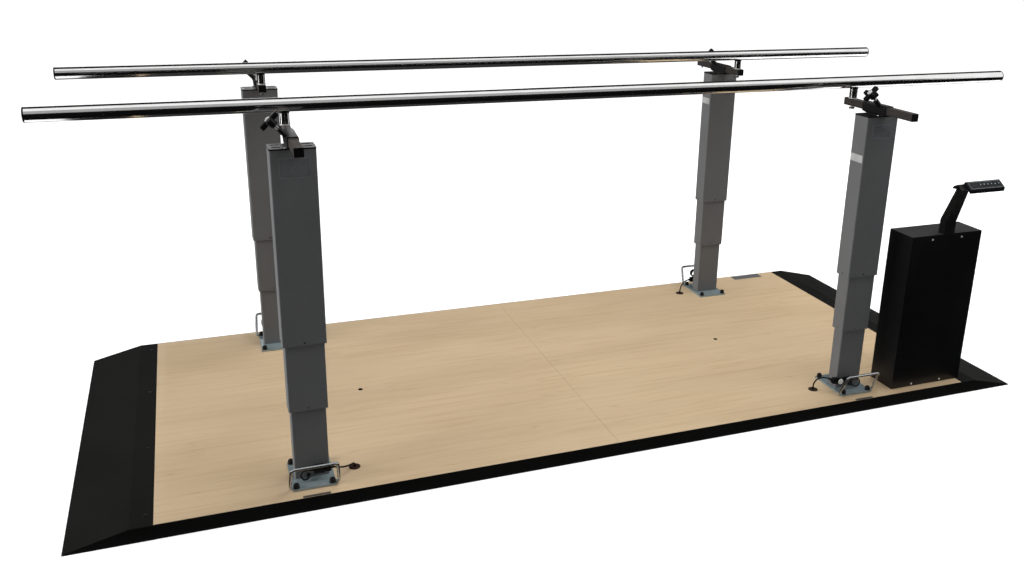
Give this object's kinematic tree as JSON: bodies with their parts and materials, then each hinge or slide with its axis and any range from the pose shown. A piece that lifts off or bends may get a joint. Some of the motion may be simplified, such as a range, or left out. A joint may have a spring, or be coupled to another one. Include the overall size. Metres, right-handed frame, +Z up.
{
  "type": "rehab walking parallel bars",
  "caption": "Powered parallel bars for walking practice: two width-adjustable handrails on telescopic lift columns over a low ramped deck, with a control cabinet and a handset.",
  "frame": {"origin": "centre of the platform on the floor", "axes": "+X along the handrails towards the end with the control cabinet, -Y the front side with the cabinet, +Z up"},
  "size_m": [3.088, 1.32, 1.0966],
  "materials": {
    "deck_wood": "clear satin lacquer on pale maple",
    "ramp_paint": "satin black paint",
    "bearer_wood": "bare plywood",
    "screw_steel": "bright",
    "zinc_plate": "bright zinc plating",
    "bolt_cover": "glossy black",
    "column_paint": "satin dark grey powder coat",
    "head_paint": "satin black paint",
    "nut_brass": "machined",
    "drive_metal": "cast and machined",
    "grommet_rubber": "matt dark brown",
    "lead_sheath": "satin black",
    "fitting_plastic": "matt black",
    "cabinet_paint": "glossy black paint",
    "power_case": "plain",
    "bracket_paint": "satin black paint",
    "handset_plastic": "satin black",
    "button_plastic": "matt dark grey",
    "knob_plastic": "matt black",
    "bail_wire": "bright",
    "handrail_steel": "polished",
    "end_plug": "matt black",
    "arm_steel": "dull brownish grey",
    "post_chrome": "bright"
  },
  "bodies": {
    "platform": {"deck_left": "deck_wood", "deck_right": "deck_wood", "ramp_left": "ramp_paint", "ramp_right": "ramp_paint", "side_skirts": "ramp_paint", "deck_bearers": "bearer_wood", "deck_screws": "screw_steel", "base_plates": "zinc_plate", "plate_bolts": "bolt_cover", "lower_tubes": "column_paint", "lift_nuts": "nut_brass", "floor_grommets": "grommet_rubber", "column_leads": "lead_sheath", "lead_fittings": "fitting_plastic", "deck_leads": "lead_sheath", "cabinet_shell": "cabinet_paint", "cabinet_cover": "cabinet_paint", "cabinet_screws": "screw_steel", "power_unit": "power_case", "mains_inlet": "fitting_plastic", "handset_bracket": "bracket_paint", "handset_case": "handset_plastic"},
    "middle_fl": {"middle_tube_fl": "column_paint"},
    "upper_fl": {"upper_tube_fl": "column_paint", "column_head_fl": "head_paint", "lift_drive_fl": "drive_metal"},
    "knob_fl": {"clamp_knob_fl": "knob_plastic"},
    "bail_fl": {"bail_fl": "bail_wire"},
    "middle_fr": {"middle_tube_fr": "column_paint"},
    "upper_fr": {"upper_tube_fr": "column_paint", "column_head_fr": "head_paint", "lift_drive_fr": "drive_metal"},
    "knob_fr": {"clamp_knob_fr": "knob_plastic"},
    "bail_fr": {"bail_fr": "bail_wire"},
    "middle_rl": {"middle_tube_rl": "column_paint"},
    "upper_rl": {"upper_tube_rl": "column_paint", "column_head_rl": "head_paint", "lift_drive_rl": "drive_metal"},
    "knob_rl": {"clamp_knob_rl": "knob_plastic"},
    "bail_rl": {"bail_rl": "bail_wire"},
    "middle_rr": {"middle_tube_rr": "column_paint"},
    "upper_rr": {"upper_tube_rr": "column_paint", "column_head_rr": "head_paint", "lift_drive_rr": "drive_metal"},
    "knob_rr": {"clamp_knob_rr": "knob_plastic"},
    "bail_rr": {"bail_rr": "bail_wire"},
    "front_handrail": {"front_rail": "handrail_steel", "front_end_plugs": "end_plug", "front_arms": "arm_steel", "front_posts": "post_chrome"},
    "rear_handrail": {"rear_rail": "handrail_steel", "rear_end_plugs": "end_plug", "rear_arms": "arm_steel", "rear_posts": "post_chrome"},
    "button_1": {"button_1": "button_plastic"},
    "button_2": {"button_2": "button_plastic"},
    "button_3": {"button_3": "button_plastic"},
    "button_4": {"button_4": "button_plastic"},
    "button_5": {"button_5": "button_plastic"},
    "button_6": {"button_6": "button_plastic"}
  },
  "joints": [
    {"name": "lift_middle_fl", "type": "slide", "parent": "platform", "child": "middle_fl", "axis": [0, 0, 1], "range_m": [-0.19, 0.01]},
    {"name": "lift_upper_fl", "type": "slide", "parent": "middle_fl", "child": "upper_fl", "axis": [0, 0, 1], "range_m": [-0.19, 0.01]},
    {"name": "lift_middle_fr", "type": "slide", "parent": "platform", "child": "middle_fr", "axis": [0, 0, 1], "range_m": [-0.19, 0.01]},
    {"name": "lift_upper_fr", "type": "slide", "parent": "middle_fr", "child": "upper_fr", "axis": [0, 0, 1], "range_m": [-0.19, 0.01]},
    {"name": "lift_middle_rl", "type": "slide", "parent": "platform", "child": "middle_rl", "axis": [0, 0, 1], "range_m": [-0.19, 0.01]},
    {"name": "lift_upper_rl", "type": "slide", "parent": "middle_rl", "child": "upper_rl", "axis": [0, 0, 1], "range_m": [-0.19, 0.01]},
    {"name": "lift_middle_rr", "type": "slide", "parent": "platform", "child": "middle_rr", "axis": [0, 0, 1], "range_m": [-0.19, 0.01]},
    {"name": "lift_upper_rr", "type": "slide", "parent": "middle_rr", "child": "upper_rr", "axis": [0, 0, 1], "range_m": [-0.19, 0.01]},
    {"name": "clamp_fl", "type": "hinge", "parent": "upper_fl", "child": "knob_fl", "pos_m": [-0.908, -0.51, 1.0125], "axis": [-0.7071, 0, 0.7071], "range_deg": [0, 540]},
    {"name": "clamp_fr", "type": "hinge", "parent": "upper_fr", "child": "knob_fr", "pos_m": [0.908, -0.51, 1.0125], "axis": [-0.7071, 0, 0.7071], "range_deg": [0, 540]},
    {"name": "clamp_rl", "type": "hinge", "parent": "upper_rl", "child": "knob_rl", "pos_m": [-0.908, 0.51, 1.0125], "axis": [-0.7071, 0, 0.7071], "range_deg": [0, 540]},
    {"name": "clamp_rr", "type": "hinge", "parent": "upper_rr", "child": "knob_rr", "pos_m": [0.908, 0.51, 1.0125], "axis": [-0.7071, 0, 0.7071], "range_deg": [0, 540]},
    {"name": "bail_hinge_fl", "type": "hinge", "parent": "platform", "child": "bail_fl", "pos_m": [-0.908, -0.555, 0.05], "axis": [1, 0, 0], "range_deg": [-36, 64]},
    {"name": "bail_hinge_fr", "type": "hinge", "parent": "platform", "child": "bail_fr", "pos_m": [0.908, -0.555, 0.05], "axis": [1, 0, 0], "range_deg": [-36, 64]},
    {"name": "bail_hinge_rl", "type": "hinge", "parent": "platform", "child": "bail_rl", "pos_m": [-0.908, 0.555, 0.05], "axis": [1, 0, 0], "range_deg": [-64, 31]},
    {"name": "bail_hinge_rr", "type": "hinge", "parent": "platform", "child": "bail_rr", "pos_m": [0.908, 0.555, 0.05], "axis": [1, 0, 0], "range_deg": [-64, 31]},
    {"name": "front_rail_width", "type": "slide", "parent": "upper_fl", "child": "front_handrail", "axis": [0, -1, 0], "range_m": [-0.09, 0.05]},
    {"name": "rear_rail_width", "type": "slide", "parent": "upper_rl", "child": "rear_handrail", "axis": [0, 1, 0], "range_m": [-0.09, 0.05]},
    {"name": "press_1", "type": "slide", "parent": "platform", "child": "button_1", "axis": [0, 0.5736, -0.8192], "range_m": [0, 0.001], "stiffness_N_per_m": 500, "springref_m": -0.001},
    {"name": "press_2", "type": "slide", "parent": "platform", "child": "button_2", "axis": [0, 0.5736, -0.8192], "range_m": [0, 0.001], "stiffness_N_per_m": 500, "springref_m": -0.001},
    {"name": "press_3", "type": "slide", "parent": "platform", "child": "button_3", "axis": [0, 0.5736, -0.8192], "range_m": [0, 0.001], "stiffness_N_per_m": 500, "springref_m": -0.001},
    {"name": "press_4", "type": "slide", "parent": "platform", "child": "button_4", "axis": [0, 0.5736, -0.8192], "range_m": [0, 0.001], "stiffness_N_per_m": 500, "springref_m": -0.001},
    {"name": "press_5", "type": "slide", "parent": "platform", "child": "button_5", "axis": [0, 0.5736, -0.8192], "range_m": [0, 0.001], "stiffness_N_per_m": 500, "springref_m": -0.001},
    {"name": "press_6", "type": "slide", "parent": "platform", "child": "button_6", "axis": [0, 0.5736, -0.8192], "range_m": [0, 0.001], "stiffness_N_per_m": 500, "springref_m": -0.001}
  ],
  "couplings": [
    {"joint": "lift_upper_fl", "follows": "lift_middle_fl", "ratio": 1},
    {"joint": "lift_middle_fr", "follows": "lift_middle_fl", "ratio": 1},
    {"joint": "lift_upper_fr", "follows": "lift_middle_fl", "ratio": 1},
    {"joint": "lift_middle_rl", "follows": "lift_middle_fl", "ratio": 1},
    {"joint": "lift_upper_rl", "follows": "lift_middle_fl", "ratio": 1},
    {"joint": "lift_middle_rr", "follows": "lift_middle_fl", "ratio": 1},
    {"joint": "lift_upper_rr", "follows": "lift_middle_fl", "ratio": 1}
  ]
}
